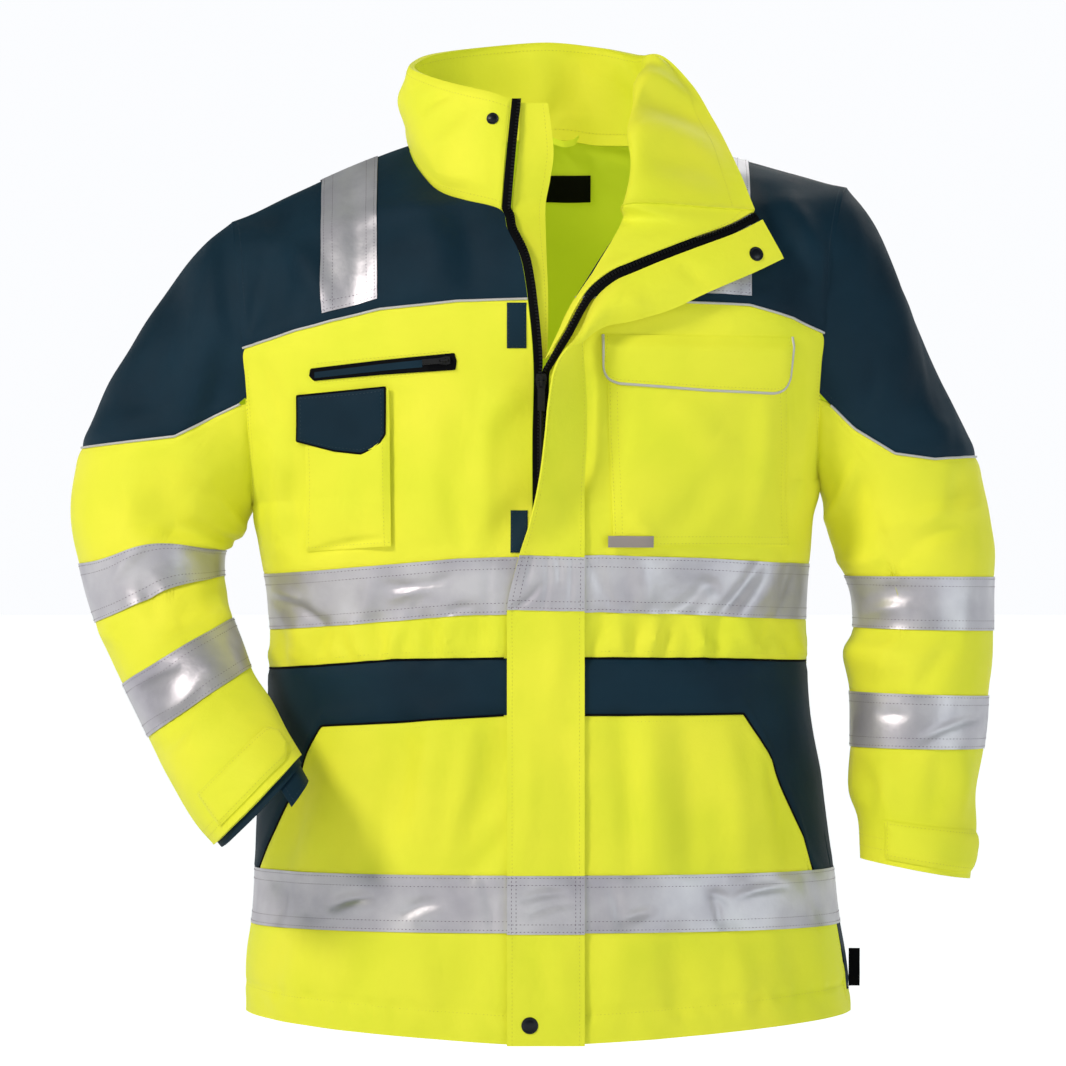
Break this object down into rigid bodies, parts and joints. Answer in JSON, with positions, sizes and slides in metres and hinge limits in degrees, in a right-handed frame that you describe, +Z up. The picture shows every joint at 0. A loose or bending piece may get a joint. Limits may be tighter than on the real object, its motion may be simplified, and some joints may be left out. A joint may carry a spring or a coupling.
{
  "type": "hi-vis work jacket",
  "caption": "Padded hip-length hi-vis work jacket with reflective tapes, navy yokes, stand collar opened to one side and a zip and storm flap front.",
  "frame": {"origin": "centre of the neck, level with the top of the shoulder seams", "axes": "+Z up towards the collar, the front faces -Y, the wearer's left is +X"},
  "size_m": [0.8319, 0.3758, 0.894],
  "materials": {
    "hi_vis_cloth": "fluorescent yellow woven shell",
    "navy_cloth": "navy woven shell",
    "reflective_tape": "retroreflective silver tape",
    "black_trim": "black zip tape and moulded pull",
    "snap_metal": "dark painted snap"
  },
  "bodies": {
    "jacket": {"yoke_front_right": "navy_cloth", "yoke_front_left": "navy_cloth", "yoke_back": "navy_cloth", "chest_front_right": "hi_vis_cloth", "chest_front_left": "hi_vis_cloth", "back": "hi_vis_cloth", "hip_right": "navy_cloth", "hip_left": "navy_cloth", "skirt_right": "hi_vis_cloth", "skirt_left": "hi_vis_cloth", "sleeve_cap_right": "navy_cloth", "sleeve_right": "hi_vis_cloth", "sleeve_tape_upper_right": "reflective_tape", "sleeve_tape_lower_right": "reflective_tape", "sleeve_cap_left": "navy_cloth", "sleeve_left": "hi_vis_cloth", "sleeve_tape_upper_left": "reflective_tape", "sleeve_tape_lower_left": "reflective_tape", "waist_tape_right": "reflective_tape", "waist_tape_left": "reflective_tape", "waist_tape_back": "reflective_tape", "hem_tape_right": "reflective_tape", "hem_tape_left": "reflective_tape", "hem_tape_back": "reflective_tape", "shoulder_tape_front_right": "reflective_tape", "shoulder_tape_back_right": "reflective_tape", "shoulder_tape_front_left": "reflective_tape", "shoulder_tape_back_left": "reflective_tape", "patch_pocket": "hi_vis_cloth", "patch_pocket_flap": "navy_cloth", "zip_pocket_welt": "black_trim", "hook_pad_upper": "navy_cloth", "hook_pad_lower": "navy_cloth", "chest_pocket_left": "hi_vis_cloth", "chest_flap_left": "hi_vis_cloth", "badge": "reflective_tape", "size_label": "black_trim", "collar": "hi_vis_cloth", "facing_left": "hi_vis_cloth", "storm_flap": "hi_vis_cloth", "flap_tape_waist": "reflective_tape", "flap_tape_hem": "reflective_tape", "zip_tape_right": "black_trim", "zip_tape_left": "black_trim", "zip_guard": "hi_vis_cloth", "zip_slider": "black_trim", "pocket_zip_slider": "black_trim", "snap_collar": "snap_metal", "snap_flap_tip": "snap_metal", "snap_hem": "snap_metal", "cuff_strap_right": "hi_vis_cloth", "cuff_strap_left": "hi_vis_cloth", "cuff_lining_right": "navy_cloth", "cuff_tab_right": "navy_cloth", "hanger_loop": "hi_vis_cloth", "side_tag": "black_trim"},
    "zip_pull": {"zip_pull": "black_trim"},
    "pocket_zip_pull": {"pocket_zip_pull": "black_trim"}
  },
  "joints": [
    {"name": "zip_pull_swing", "type": "hinge", "parent": "jacket", "child": "zip_pull", "pos_m": [0, -0.1567, -0.212], "axis": [-1, 0, 0], "range_deg": [0, 160]},
    {"name": "pocket_zip_pull_swing", "type": "hinge", "parent": "jacket", "child": "pocket_zip_pull", "pos_m": [-0.08473, -0.14849, -0.19378], "axis": [-0.0699, 0.0405, 0.9967], "range_deg": [0, 160]}
  ]
}
